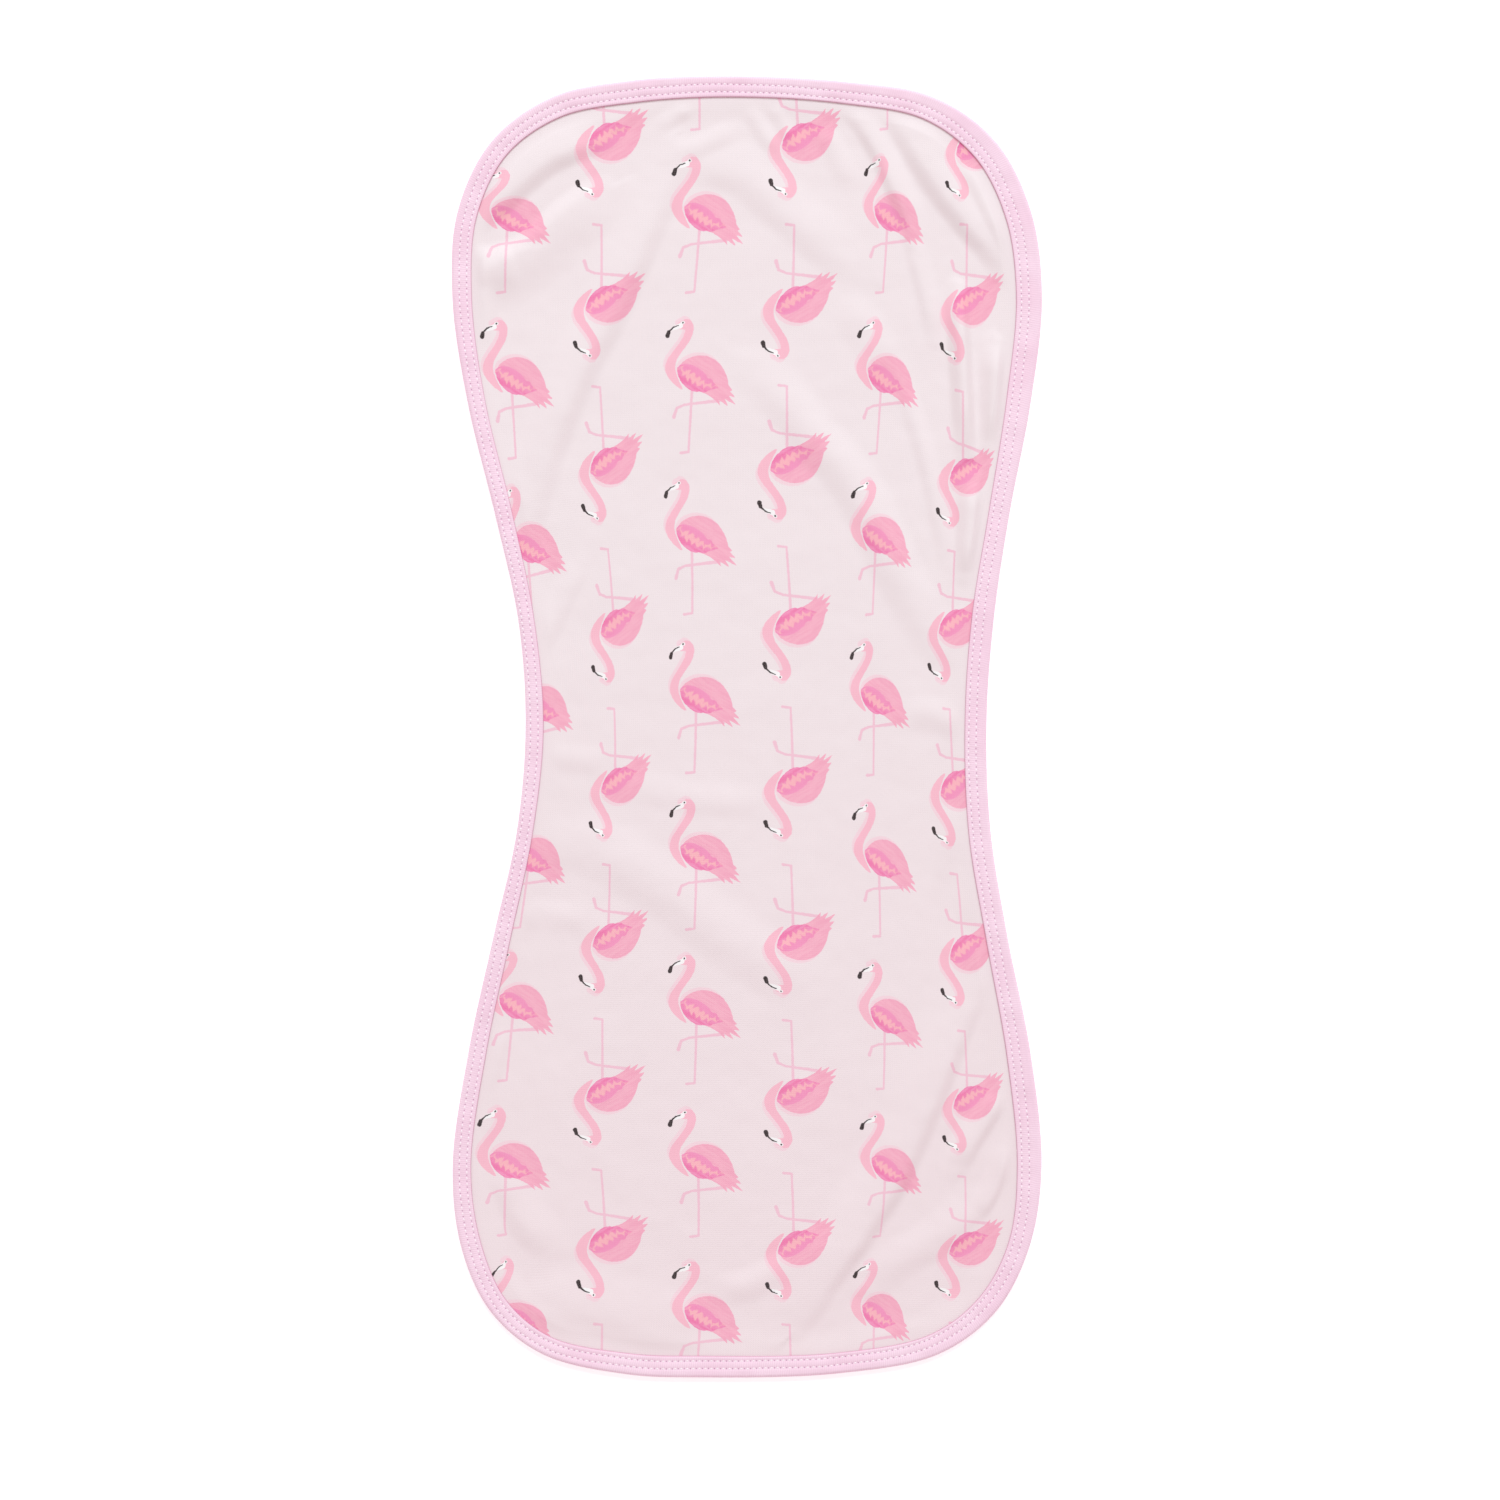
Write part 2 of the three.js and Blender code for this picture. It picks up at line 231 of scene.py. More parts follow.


# %% [markdown]
# ## The folds
# Cloth that was put down by hand keeps low waves. Most run away from a corner, where the binding pulls
# on the panel. A simulation would give waves in places of its own, so they are listed one by one
# instead:
# each fold is a line along its crest, with a height and a reach to either side. A short reach on one
# side makes that side steep, as where cloth has slid over itself. Fourteen of them stand in the CAD
# model too, in a simpler form, and the rest are small ones that only show in the light.

# %% Where the folds lie
# Each row: name, height, reach to the left and to the right of someone walking along the crest,
# and points of the crest
FOLDS = [
    ("top left corner", 2.7, 13, 8,
     [(-116, 218), (-107, 226), (-98, 234), (-87, 243), (-75, 249), (-62, 254)]),
    ("inside it", 2.4, 8, 20,
     [(-116, 193), (-104, 199), (-92, 208), (-82, 217), (-71, 226), (-61, 231)]),
    ("start of it", 2.2, 7, 19, [(-121, 203), (-111, 201), (-100, 204)]),
    ("left shoulder", 2.7, 16, 9,
     [(-97, 78), (-93, 92), (-90, 103), (-82, 128), (-71, 154), (-57, 181), (-44, 211), (-36, 231),
      (-31, 248)]),
    ("left edge", 1.0, 7, 7, [(-116, 165), (-113, 178), (-115, 189)]),
    ("top a", 0.9, 5, 5, [(-39, 258), (-32, 262), (-24, 267)]),
    ("top b", 0.8, 6, 6, [(-26, 247), (-18, 251), (-5, 257)]),
    ("top c", 0.9, 5, 5, [(1, 266), (7, 256), (13, 247)]),
    ("top d", 0.7, 4, 5, [(11, 268), (16, 259), (19, 252)]),
    ("top centre", 1.5, 16, 11,
     [(-26, 242), (-13, 241), (0, 236), (10, 227), (21, 218), (32, 208), (43, 199), (50, 194)]),
    ("before the pair", 0.9, 6, 7, [(32, 258), (39, 247), (44, 234)]),
    ("first of the pair", 2.2, 9, 5,
     [(45, 264), (52, 255), (58, 244), (64, 231), (69, 220), (72, 208)]),
    ("second of the pair", 3.0, 16, 8,
     [(64, 263), (72, 250), (80, 237), (88, 226), (97, 215), (105, 206), (111, 196)]),
    ("corner of the top right", 1.5, 6, 5, [(93, 243), (100, 231), (106, 219), (112, 207)]),
    ("under the pair", 1.3, 7, 4, [(70, 211), (73, 199), (77, 184), (80, 167)]),
    ("right rib a", 4.2, 5, 7, [(91, 189), (92, 171), (93, 153), (94, 136), (95, 117)]),
    ("right rib b", 3.5, 5, 8, [(107, 165), (107, 145), (107, 122)]),
    ("right rib c", 3.3, 6, 7, [(97, 106), (96, 90), (94.5, 66)]),
    ("beside the shoulder", 1.2, 6, 5, [(65, 153), (71, 135), (77, 115), (82, 93), (86, 71)]),
    ("right shoulder", 2.2, 13, 12,
     [(2, 153), (16, 141), (29, 124), (42, 110), (51, 96), (59, 79), (67, 62), (75, 48), (83, 35)]),
    ("slope above the rib", 0.9, 10, 12, [(41, 184), (52, 171), (62, 153)]),
    ("right waist", 0.9, 9, 9, [(68, 6), (81, 5), (93, -1)]),
    ("right edge below the waist", 0.8, 7, 6, [(87, -32), (86, -49), (83, -66)]),
    ("above the left waist", 0.9, 8, 6, [(-89, 32), (-82, 48), (-72, 70)]),
    ("waist crease a", 0.7, 8, 7, [(-85, -13), (-74, -14), (-61, -16)]),
    ("waist crease b", 0.7, 9, 9, [(-51, -25), (-33, -29), (-11, -32), (9, -32)]),
    ("left of the lower half", 1.5, 17, 14,
     [(-91, -47), (-72, -51), (-57, -57), (-42, -66), (-29, -75), (-16, -86), (-3, -95), (10, -103),
      (26, -113)]),
    ("below it", 0.6, 8, 8, [(-101, -81), (-87, -81), (-67, -83)]),
    ("left low", 0.8, 7, 6, [(-112, -157), (-109, -146), (-106, -130)]),
    ("long one to the bottom", 2.6, 7, 22,
     [(99, -107), (95, -122), (90, -134), (86, -144), (82, -155), (77, -167), (72, -179), (67, -190),
      (61, -201), (55, -210), (48, -221), (41, -230), (34, -240), (28, -250), (21, -259)]),
    ("right of it", 1.9, 5, 10, [(109, -157), (104, -168), (97, -179), (92, -190)]),
    ("edge of the lower right", 1.6, 4, 8, [(112, -180), (109, -192), (104, -204), (100, -210)]),
    ("bottom right corner", 1.3, 10, 11, [(97, -206), (87, -216), (75, -224), (64, -231), (55, -240)]),
    ("bottom near the long one", 1.1, 9, 8, [(19, -230), (5, -238), (-11, -243)]),
    ("bottom left, side", 1.3, 13, 9, [(-106, -190), (-101, -202), (-95, -214), (-85, -225)]),
    ("bottom left, end", 1.5, 22, 13,
     [(-98, -249), (-80, -251), (-63, -253), (-42, -258), (-18, -262)]),
]
CREST_STEPS = 10
FOLD_END = 0.3
print("folds:", len(FOLDS), "highest:", max(FOLDS, key=lambda fold: fold[1])[0])

# %% How far the folds lift the cloth


def smooth_step(value, low, high):
    """From 0 at low to 1 at high, level at both ends."""
    t = np.clip((value - low) / (high - low), 0, 1)
    return t * t * (3 - 2 * t)


def fold_lift(places, height, left, right, crest):
    """The lift of one fold at each place."""
    path = smooth_curve(crest, CREST_STEPS, closed=False)
    lengths = np.linalg.norm(np.diff(path, axis=0), axis=1)
    passed = np.concatenate([[0], np.cumsum(lengths)])
    nearest = np.full(len(places), np.inf)
    share = np.zeros(len(places))
    on_left = np.zeros(len(places), bool)
    for k, (a, b) in enumerate(zip(path[:-1], path[1:])):
        step = b - a
        offset = places - a
        t = np.clip(offset @ step / (step @ step), 0, 1)
        distance = np.linalg.norm(offset - t[:, None] * step, axis=1)
        nearer = distance < nearest
        nearest = np.where(nearer, distance, nearest)
        share = np.where(nearer, (passed[k] + t * lengths[k]) / passed[-1], share)
        side = step[0] * offset[:, 1] - step[1] * offset[:, 0] > 0
        on_left = np.where(nearer, side, on_left)
    reach = nearest / np.where(on_left, left, right)
    rise = smooth_step(np.minimum(share, 1 - share), -FOLD_END / 2, FOLD_END)
    return height * rise * np.clip(1 - reach**2, 0, 1) ** 2


def lift_at(places):
    """The lift of all the folds together."""
    return sum(fold_lift(places, *fold) for _, *fold in FOLDS)


# %% Small unevenness
# Blender's own noise gives the same value at the same place each time, so nothing is left to chance.
# Each row: how large the soft bumps are and how high, both in millimetres.
RUMPLES = [(45.0, 0.34), (16.0, 0.26), (6.0, 0.12)]


def unevenness(places):
    """Soft bumps in millimetres, as cotton has after washing."""
    total = np.zeros(len(places))
    for size, height in RUMPLES:
        spots = (places / size).tolist()
        total += height * np.array([noise.noise((x, y, size)) for x, y in spots])
    return total


# %% [markdown]
# ## The panel
# The panel is one sheet as thick as its two plies, lying on the table but for its folds. A grid whose
# lines follow the outline keeps the edge smooth: its outermost ring lies in the binding's slot, four
# more follow the binding's inner edge, and a patch stretched between the four sides fills the rest.
# Solidify could give the thickness, but the underside must lie flat in the slot and on the table, so
# both faces are placed here.

# %% Heights of the panel's two faces
PLIES = 2.2
PLIES_STITCHED = 1.6
SLOT_FLOOR = 1.4
MOUTH = 0.6
SETTLE = 12.0
FOLDS_BEGIN = 6.0
EDGE_THINNING = 3
EDGE_BATCHES = 12


def room_inside(places):
    """How far each place lies inside the binding's inner edge."""
    room = np.full(len(places), np.inf)
    for part in np.array_split(edge[::EDGE_THINNING], EDGE_BATCHES):
        gaps = np.linalg.norm(places[:, None, :] - part[None, :, :2], axis=2) - part[None, :, 2]
        room = np.minimum(room, gaps.min(axis=1))
    return room


def panel_levels(places):
    """The heights of the underside and of the top."""
    room = room_inside(places)
    settled = smooth_step(room, MOUTH, SETTLE)
    free = smooth_step(room, MOUTH, FOLDS_BEGIN)
    under = (1 - settled) * SLOT_FLOOR + free * lift_at(places)
    thickness = PLIES_STITCHED + (PLIES - PLIES_STITCHED) * settled
    top = under + thickness + free * unevenness(places)
    return under, top


# %% The plan of the grid, seen from above
STEPS_ACROSS = 176
STEPS_ALONG = 390
RING_INSETS = [(0, 2.3), (1, 0.2), (1, 1.4), (1, 3.0), (1, 5.0)]
corner_walks = [walked[k * STEPS_PER_POINT] for k in CORNER_POINTS] + [perimeter]


def four_sides(ring, across, along):
    """The bottom, right, top and left of a ring, each from left to right or from low to high."""
    low, high = across + along, 2 * across + along
    return ring[: across + 1], ring[across : low + 1], ring[low : high + 1][::-1], ring[high:][::-1]


def cloth_plan(across, along):
    """Points seen from above, the faces between them, and how many points lie in each ring."""
    walks = [
        np.linspace(corner_walks[k], corner_walks[k + 1], steps, endpoint=False)
        for k, steps in enumerate([across, along, across, along])
    ]
    points, inward, band = stations_at(np.concatenate(walks))
    rings = [
        points + inward * (with_band * band + inset)[:, None] for with_band, inset in RING_INSETS
    ]
    around = len(points)
    collar = np.vstack([rings[-1], rings[-1][:1]])
    bottom, right, top, left = four_sides(collar, across, along)
    u = np.linspace(0, 1, across + 1)[None, :, None]
    v = np.linspace(0, 1, along + 1)[:, None, None]
    patch = (1 - v) * bottom[None] + v * top[None] + (1 - u) * left[:, None] + u * right[:, None]
    patch = patch - (1 - v) * ((1 - u) * bottom[0] + u * bottom[-1])
    patch = patch - v * ((1 - u) * top[0] + u * top[-1])

    numbers = np.zeros((along + 1, across + 1), int)
    inner = (along - 1) * (across - 1)
    numbers[1:-1, 1:-1] = len(rings) * around + np.arange(inner).reshape(along - 1, across - 1)
    rim = (len(rings) - 1) * around + np.arange(around + 1) % around
    numbers[0], numbers[:, -1], numbers[-1], numbers[:, 0] = four_sides(rim, across, along)

    cells = [numbers[:-1, :-1], numbers[:-1, 1:], numbers[1:, 1:], numbers[1:, :-1]]
    quads = [np.stack(cells, axis=-1).reshape(-1, 4)]
    here = np.arange(around)
    beyond = (here + 1) % around
    for ring in range(len(rings) - 1):
        outer = ring * around
        inside = outer + around
        quads.append(np.stack([outer + here, outer + beyond, inside + beyond, inside + here], 1))
    plan = np.vstack([*rings, patch[1:-1, 1:-1].reshape(-1, 2)])
    return plan, np.vstack(quads), around


# %% Two skins, the lower one half as fine, closed by a rim
top_plan, top_quads, _ = cloth_plan(STEPS_ACROSS, STEPS_ALONG)
under_plan, under_quads, under_around = cloth_plan(STEPS_ACROSS // 2, STEPS_ALONG // 2)
top_level = panel_levels(top_plan)[1]
under_level = panel_levels(under_plan)[0]
panel_points = np.vstack(
    [np.column_stack([top_plan, top_level]), np.column_stack([under_plan, under_level])]
)
count = len(top_plan)
k = np.arange(under_around)
after = (k + 1) % under_around
rim = np.stack([2 * k, count + k, count + after, 2 * after, 2 * k + 1], axis=1)
panel_faces = [*top_quads.tolist(), *(under_quads[:, ::-1] + count).tolist(), *rim.tolist()]
print("faces of the panel:", len(panel_faces))

# %% Make the mesh and check it
# No open edge means that the mesh is closed, and a positive volume that its faces point outwards.


def mesh_piece(name, points, faces):
    """A smooth-shaded object from points in millimetres and faces."""
    mesh = bpy.data.meshes.new(name)
    mesh.from_pydata((points * MM).tolist(), [], faces)
    mesh.update()
    piece = bpy.data.objects.new(name, mesh)
    bpy.context.collection.objects.link(piece)
    deselect()
    piece.select_set(True)
    bpy.context.view_layer.objects.active = piece
    bpy.ops.object.shade_smooth()
    form = bmesh.new()
    form.from_mesh(mesh)
    open_edges = sum(1 for line in form.edges if len(line.link_faces) != 2)
    volume = form.calc_volume(signed=True) / MM**3
    form.free()
    print(name, "cubic mm:", round(volume), "open edges:", open_edges)
    return piece


panel = mesh_piece("panel_cloth", panel_points, panel_faces)

# %% [markdown]
# ## The binding
# The binding is a strip of rib folded over the edge, with its own raw edges turned under. In section it
# is a soft roll at the outside and a flat leg on either face of the panel. The two rows of stitching
# press a groove each, and the cloth between them stands up a little. One section is worked out from
# the width of the band at each step, and carried round the edge.

# %% The binding's section
LEG = 1.1
BINDING_HEIGHT = 4.4
NOSE = BINDING_HEIGHT / 2
NOSE_REACH = 1.5
SLOT_END = 2.0
SLOT_ROOF = 3.08
NOSE_PUFF = 0.3
TOP_FALL = 0.45
LIP_FALL = 0.35
LIP_REACH = 0.8
INNER_ROW = 2.0
OUTER_ROW = 5.2
GROOVE_DEPTH = 0.27
GROOVE_REACH = 0.6
TOP_POINTS = 22
NOSE_POINTS = 7
BINDING_STEPS = 1152
# The seam wanders, since it was guided by hand, and the strip is fuller here and there. Each row is a
# wave: its height in millimetres, how many of it go round the edge, and where it starts.
DRIFT = [(0.26, 5, 0.6), (0.12, 17, 2.0), (0.07, 43, 0.0)]
PUFF = [(0.12, 53, 0.8), (0.10, 89, 2.0), (0.08, 131, 0.0)]


def waves(distance, rows):
    """Waves laid over each other, at a distance along the edge."""
    turn = 2 * math.pi * distance / perimeter
    return sum(height * np.sin(times * turn + start) for height, times, start in rows)


def grooves(inset, band, drift):
    """How deep the two rows press the cloth in, at a distance inside the outer edge."""
    depth = 0
    for row in (INNER_ROW, OUTER_ROW):
        off_row = inset - band + row + drift
        depth = depth + GROOVE_DEPTH * np.exp(-((off_row / GROOVE_REACH) ** 2))
    return depth


def binding_top(inset, band, puff, drift):
    """The height of the binding's upper face at a distance inside its outer edge."""
    roll = NOSE * np.sqrt(1 - np.clip(1 - inset / NOSE_REACH, 0, 1) ** 2)
    slope = TOP_FALL * smooth_step(inset, NOSE_REACH, band)
    level = NOSE + roll - slope + puff * np.sin(np.pi * np.clip(inset / band, 0, 1)) ** 2
    lip = np.clip((inset - band + LIP_REACH) / LIP_REACH, 0, 1)
    return level - grooves(inset, band, drift) - LIP_FALL * lip**2


# %% Carry it round the edge
binding_walk = np.linspace(0, perimeter, BINDING_STEPS, endpoint=False)
outer_points, inward, band = stations_at(binding_walk)
puff = waves(binding_walk, PUFF)
drift = waves(binding_walk, DRIFT)

section = []
for share in np.linspace(0, 1, TOP_POINTS):
    inset = band + (NOSE_REACH - band) * share
    section.append((inset, binding_top(inset, band, puff, drift)))
for angle in np.linspace(math.pi / 2, 3 * math.pi / 2, NOSE_POINTS + 2)[1:-1]:
    level = NOSE + (NOSE + puff * NOSE_PUFF) * math.sin(angle)
    section.append((NOSE_REACH + NOSE_REACH * math.cos(angle) + 0 * band, level))
for share in np.linspace(0, 1, TOP_POINTS):
    inset = NOSE_REACH + (band - NOSE_REACH) * share
    section.append((inset, grooves(inset, band, drift)))
for inset, level in ((band, LEG), (SLOT_END, LEG), (SLOT_END, SLOT_ROOF), (band, SLOT_ROOF)):
    section.append((0 * band + inset, 0 * band + level))

rows = [np.column_stack([outer_points + inward * inset[:, None], level]) for inset, level in section]
rows = np.stack(rows, axis=1)
around_section = rows.shape[1]
binding_points = rows.reshape(-1, 3)
station = np.arange(BINDING_STEPS)[:, None] * around_section
following = (np.arange(BINDING_STEPS)[:, None] + 1) % BINDING_STEPS * around_section
corner = np.arange(around_section)[None, :]
next_corner = (corner + 1) % around_section
binding_quads = np.stack(
    [station + corner, station + next_corner, following + next_corner, following + corner], axis=-1
).reshape(-1, 4)
binding = mesh_piece("binding_rib", binding_points, binding_quads.tolist())
print("points round its section:", around_section)

# %% [markdown]
# ## The stitching
# A cover stitch machine sews both rows at once, as two rows of short stitches. The back doesn't show
# in the photograph, so it gets the same two rows. Each stitch is a bit of thread whose ends dive into
# the cloth. It is modelled once, from a sphere drawn out and bent down at its ends, and then set all
# the way round, each one turned to follow the edge and slanted a little, as the thread's twist makes it.

# %% One stitch
STITCH_LENGTH = 1.6
STITCH_WIDTH = 0.82
STITCH_HEIGHT = 0.5
STITCH_COUNT = 576
STITCH_SLANT = math.radians(14)
STITCH_BEND = 0.30
STITCH_SINK = 0.02

deselect()
bpy.ops.mesh.primitive_uv_sphere_add(segments=8, ring_count=6, radius=0.5)
stitch = bpy.context.object
bpy.ops.object.mode_set(mode="EDIT")
bpy.ops.mesh.select_all(action="SELECT")
bpy.ops.transform.rotate(value=math.pi / 2, orient_axis="Y", center_override=(0, 0, 0))
bpy.ops.transform.resize(value=(STITCH_LENGTH, STITCH_WIDTH, STITCH_HEIGHT))
bpy.ops.object.mode_set(mode="OBJECT")
for vertex in stitch.data.vertices:
    vertex.co.z -= STITCH_BEND * (2 * vertex.co.x / STITCH_LENGTH) ** 2
stitch_points = np.array([vertex.co[:] for vertex in stitch.data.vertices])
stitch_faces = [list(face.vertices) for face in stitch.data.polygons]
print("faces of one stitch:", len(stitch_faces))
bpy.data.objects.remove(stitch)

# %% Set it round the binding
# No two stitches lie quite alike: how far one strays across its row, how much more or less than the
# others it slants, and how fast each of these changes along the edge
STRAY, STRAY_CHANGE = 0.07, 1.7
SLANT_SHARE, SLANT_CHANGE = 0.5, 0.9


def sew(inset_from_lip, face, sink):
    """One row of stitches: face is 1 on the upper face and -1 on the lower one."""
    spots = (np.arange(STITCH_COUNT) + 0.5) * perimeter / STITCH_COUNT
    points, into, width = stations_at(spots)
    sway = waves(spots, DRIFT)
    inset = width - inset_from_lip - sway + STRAY * np.sin(spots * STRAY_CHANGE + inset_from_lip)
    ahead = np.stack([into[:, 1], -into[:, 0]], axis=1)
    if face > 0:
        level = binding_top(inset, width, waves(spots, PUFF), sway) - sink
    else:
        level = grooves(inset, width, sway) + sink
    centre = points + into * inset[:, None]
    slants = STITCH_SLANT * (1 + SLANT_SHARE * np.sin(spots * SLANT_CHANGE))
    cos, sin = np.cos(slants)[:, None], np.sin(slants)[:, None]
    x, y, z = stitch_points.T
    forward = (x * cos - y * sin)[..., None] * ahead[:, None]
    sideways = (x * sin + y * cos)[..., None] * into[:, None]
    verts = np.dstack([centre[:, None] + forward + sideways, level[:, None] + face * z])
    starts = range(0, STITCH_COUNT * len(x), len(x))
    faces = [[start + number for number in ring[::face]] for start in starts for ring in stitch_faces]
    return verts.reshape(-1, 3), faces


def stitch_piece(name, face, sink):
    """Both rows of one face as one mesh."""
    verts_a, faces_a = sew(INNER_ROW, face, sink)
    verts_b, faces_b = sew(OUTER_ROW, face, sink)
    shift = len(verts_a)
    faces = faces_a + [[number + shift for number in ring] for ring in faces_b]
    return mesh_piece(name, np.vstack([verts_a, verts_b]), faces)


face_stitches = stitch_piece("stitches_face", face=1, sink=STITCH_SINK)
back_stitches = stitch_piece("stitches_back", face=-1, sink=0.0)
print("stitches:", 4 * STITCH_COUNT)

# %% [markdown]
# ## Cloth coordinates
# A print is on the cloth before it is cut, so it follows the cloth and not the table. Where the
# narrow waist is drawn in, the print is drawn in with it. The panel gets a UV map that gives, for each
# point, its place on the unstretched cloth in millimetres. The binding gets the distance along it and
# the distance from its inner edge, for its ribs and its needle holes.

# %% UV maps in millimetres


def set_uv(piece, name, across, along):
    """A UV map from one pair of numbers for each vertex."""
    uv = piece.data.uv_layers.new(name=name)
    corners = np.empty(len(piece.data.loops), int)
    piece.data.loops.foreach_get("vertex_index", corners)
    uv.data.foreach_set("uv", np.column_stack([across[corners], along[corners]]).ravel())


# Each row: where the cloth was pulled when it was sewn and laid, how far that reaches in X and in Y,
# and by how much the print moved
PULLS = [
    (-108, 35, 34, 75, -1.5, -6.0),
    (88, -105, 45, 80, 1.5, -5.5),
    (108, 116, 24, 45, 1.5, -4.5),
    (0, 245, 150, 45, 2.4, -0.5),
    (-5, 110, 70, 60, -2.8, 1.0),
    (66, -262, 36, 40, -6.5, 1.5),
    (-40, -235, 60, 45, 2.2, 0.0),
    (-68, -215, 26, 40, 0.5, 2.2),
    (-104, -122, 26, 34, 0.0, 3.0),
    (-106, 243, 22, 16, 2.0, -6.0),
    (102, 248, 20, 18, 0.0, -4.5),
    (-108, -230, 14, 9, 5.2, 1.6),
    (-92, -249, 18, 11, 3.6, -5.0),
    (-99, -256, 9, 9, 3.0, 3.5),
    (-112, -233, 6, 7, 3.4, -0.5),
    (86, 104, 14, 22, 2.0, -1.5),
    (110, 118, 12, 16, -3.0, -2.0),
]
PULLED_ALL_OVER = (1.4, -1.0)
WAIST_AT, WAIST_REACH = 10, 110
DRAWN_SHARE, DRAWN_FROM = 0.25, 28
STRETCH_SHARE, STRETCH_FROM = 0.18, 50
CLOSER_UP = 8.7e-5

plan_x, plan_y = panel_points[:, 0], panel_points[:, 1]
waist = np.exp(-(((plan_y - WAIST_AT) / WAIST_REACH) ** 2))
drawn_in = DRAWN_SHARE * np.sign(plan_x) * np.clip(np.abs(plan_x) - DRAWN_FROM, 0, None) * waist
stretched = STRETCH_SHARE * np.clip(plan_x - STRETCH_FROM, 0, None) * (1 - waist)
cloth_across = plan_x + drawn_in + stretched - PULLED_ALL_OVER[0]
cloth_along = plan_y - CLOSER_UP * plan_y**2 - PULLED_ALL_OVER[1]
for x, y, reach_x, reach_y, moved_x, moved_y in PULLS:
    share = np.exp(-(((plan_x - x) / reach_x) ** 2) - ((plan_y - y) / reach_y) ** 2)
    cloth_across = cloth_across - share * moved_x
    cloth_along = cloth_along - share * moved_y
set_uv(panel, "cloth", cloth_across, cloth_along)

along_binding = np.repeat(binding_walk, around_section)
insets = np.stack([inset for inset, _ in section], axis=1)
from_lip = band[:, None] - insets
drifted = drift[:, None] * np.clip(from_lip / INNER_ROW, 0, 1)
set_uv(binding, "strip", along_binding, (from_lip - drifted).ravel())
seam_faces = np.arange(len(binding.data.polygons))[-around_section:]
strip = binding.data.uv_layers["strip"].data
for number in seam_faces:
    for loop in binding.data.polygons[number].loop_indices:
        if strip[loop].uv[0] < perimeter / 2:
            strip[loop].uv[0] += perimeter
print("print drawn in at the waist by, mm:", round(float(np.abs(drawn_in).max()), 1))

# %% [markdown]
# ## Materials
# One small function plugs values or other nodes into a node's inputs, and another adds a node. Colours
# are written as the hex values that a paint program shows, and one function turns them to the linear
# values that the shader needs.

# %% Small helpers
# Some nodes have several sockets of one name, so these go by number. A mix node takes its share as 0,
# then two numbers as 2 and 3, or two colours as 6 and 7, and output 2 is the mixed colour. A map range
# node takes a value as 0, the range it comes from as 1 and 2, and the range it goes to as 3 and 4.


def linear(hex_colour):
    """The linear RGBA of an sRGB hex colour."""
    parts = [int(hex_colour[k : k + 2], 16) / 255 for k in (1, 3, 5)]
    parts = [p / 12.92 if p <= 0.04045 else ((p + 0.055) / 1.055) ** 2.4 for p in parts]
    return (*parts, 1.0)


def plug(tree, node, inputs):
    """Wires or sets the inputs of a node, given by name or in their order."""
    pairs = inputs.items() if isinstance(inputs, dict) else enumerate(inputs)
    for name, value in pairs:
        if isinstance(value, bpy.types.NodeSocket):
            tree.links.new(value, node.inputs[name])
        else:
            node.inputs[name].default_value = value


def add(tree, kind, inputs=(), give=0, **settings):
    """Adds a node, such as "Clamp" or "Math ADD", and gives one of its outputs."""
    kind, *operation = kind.split()
    node = tree.nodes.new("ShaderNode" + kind)
    if operation:
        node.operation = operation[0]
    for name, value in settings.items():
        setattr(node, name, value)
    plug(tree, node, inputs)
    return node.outputs[give]


def new_material(name):
    """An empty material with a surface shader, and its tree."""
    material = bpy.data.materials.new(name)
    material.use_nodes = True
    return material, material.node_tree, material.node_tree.nodes["Principled BSDF"]


# %% [markdown]
# ## The bird
# The print is a wading bird on one leg, drawn here from plain forms and not copied from any picture:
# an S-shaped neck, a body with ragged tail feathers, a leaf-shaped wing and thin strokes for legs.
# Each form is a distance in millimetres that is negative inside it, so forms join by taking the least.
# A float curve node holds a whole outline: the body's is its radius at each angle, and the neck's is
# its middle line and its width at each height.

# %% Values that draw the bird, in millimetres from the middle of its body
# The body and tail: angle in degrees, and how far the outline lies from BODY_MIDDLE
BODY_MIDDLE = (1.5, 1.5)
BODY_OUTLINE = [
    (-180, 10.0), (-155, 8.2), (-130, 6.9), (-105, 6.4), (-80, 7.2), (-66, 9.0),
    (-58, 11.4), (-55, 15.4), (-51, 12.6), (-46, 18.0), (-42.5, 14.0), (-38, 19.8),
    (-34.5, 14.6), (-30.5, 17.8), (-27, 14.2), (-23, 15.2), (-19, 12.9), (-5, 11.6),
    (12, 10.4), (34, 9.5), (56, 9.0), (80, 8.8), (105, 9.0), (130, 9.6), (155, 10.4),
    (180, 10.0),
]
BODY_SCALE = 20.0
# The neck: height, its middle line and half its width
NECK = [
    (-4.4, -6.2, 0.0), (-3.0, -7.6, 1.0), (-1.0, -9.4, 1.7), (2.0, -11.3, 2.2), (5.0, -12.2, 2.3),
    (8.0, -11.7, 2.2), (11.0, -9.9, 2.1), (14.0, -7.7, 2.0), (17.0, -5.7, 1.9), (20.0, -4.5, 1.8),
    (22.5, -4.3, 1.8), (24.5, -4.9, 1.5), (26.0, -5.8, 0.0),
]
NECK_LOW = -4.4
NECK_HIGH = 26.0
NECK_SPAN = NECK_HIGH - NECK_LOW
# The wing: how far along from its root, how far its middle bows up, and half its width
WING_ROOT = (-9.0, 5.2)
WING_TURN = -29.0
WING_LENGTH = 20.5
WING = [
    (0.0, 0.0, 0.0), (1.0, 0.2, 1.7), (3.0, 0.0, 3.4), (6.0, -0.3, 4.5), (9.5, -0.6, 4.8),
    (12.5, -0.7, 4.2), (14.6, -0.5, 3.2), (15.2, -0.3, 3.3), (17.2, 0.3, 1.9), (18.8, 0.9, 1.0),
    (20.5, 1.5, 0.0),
]
WING_SCALE = 5.0

# %% A stroke of the brush, as a group


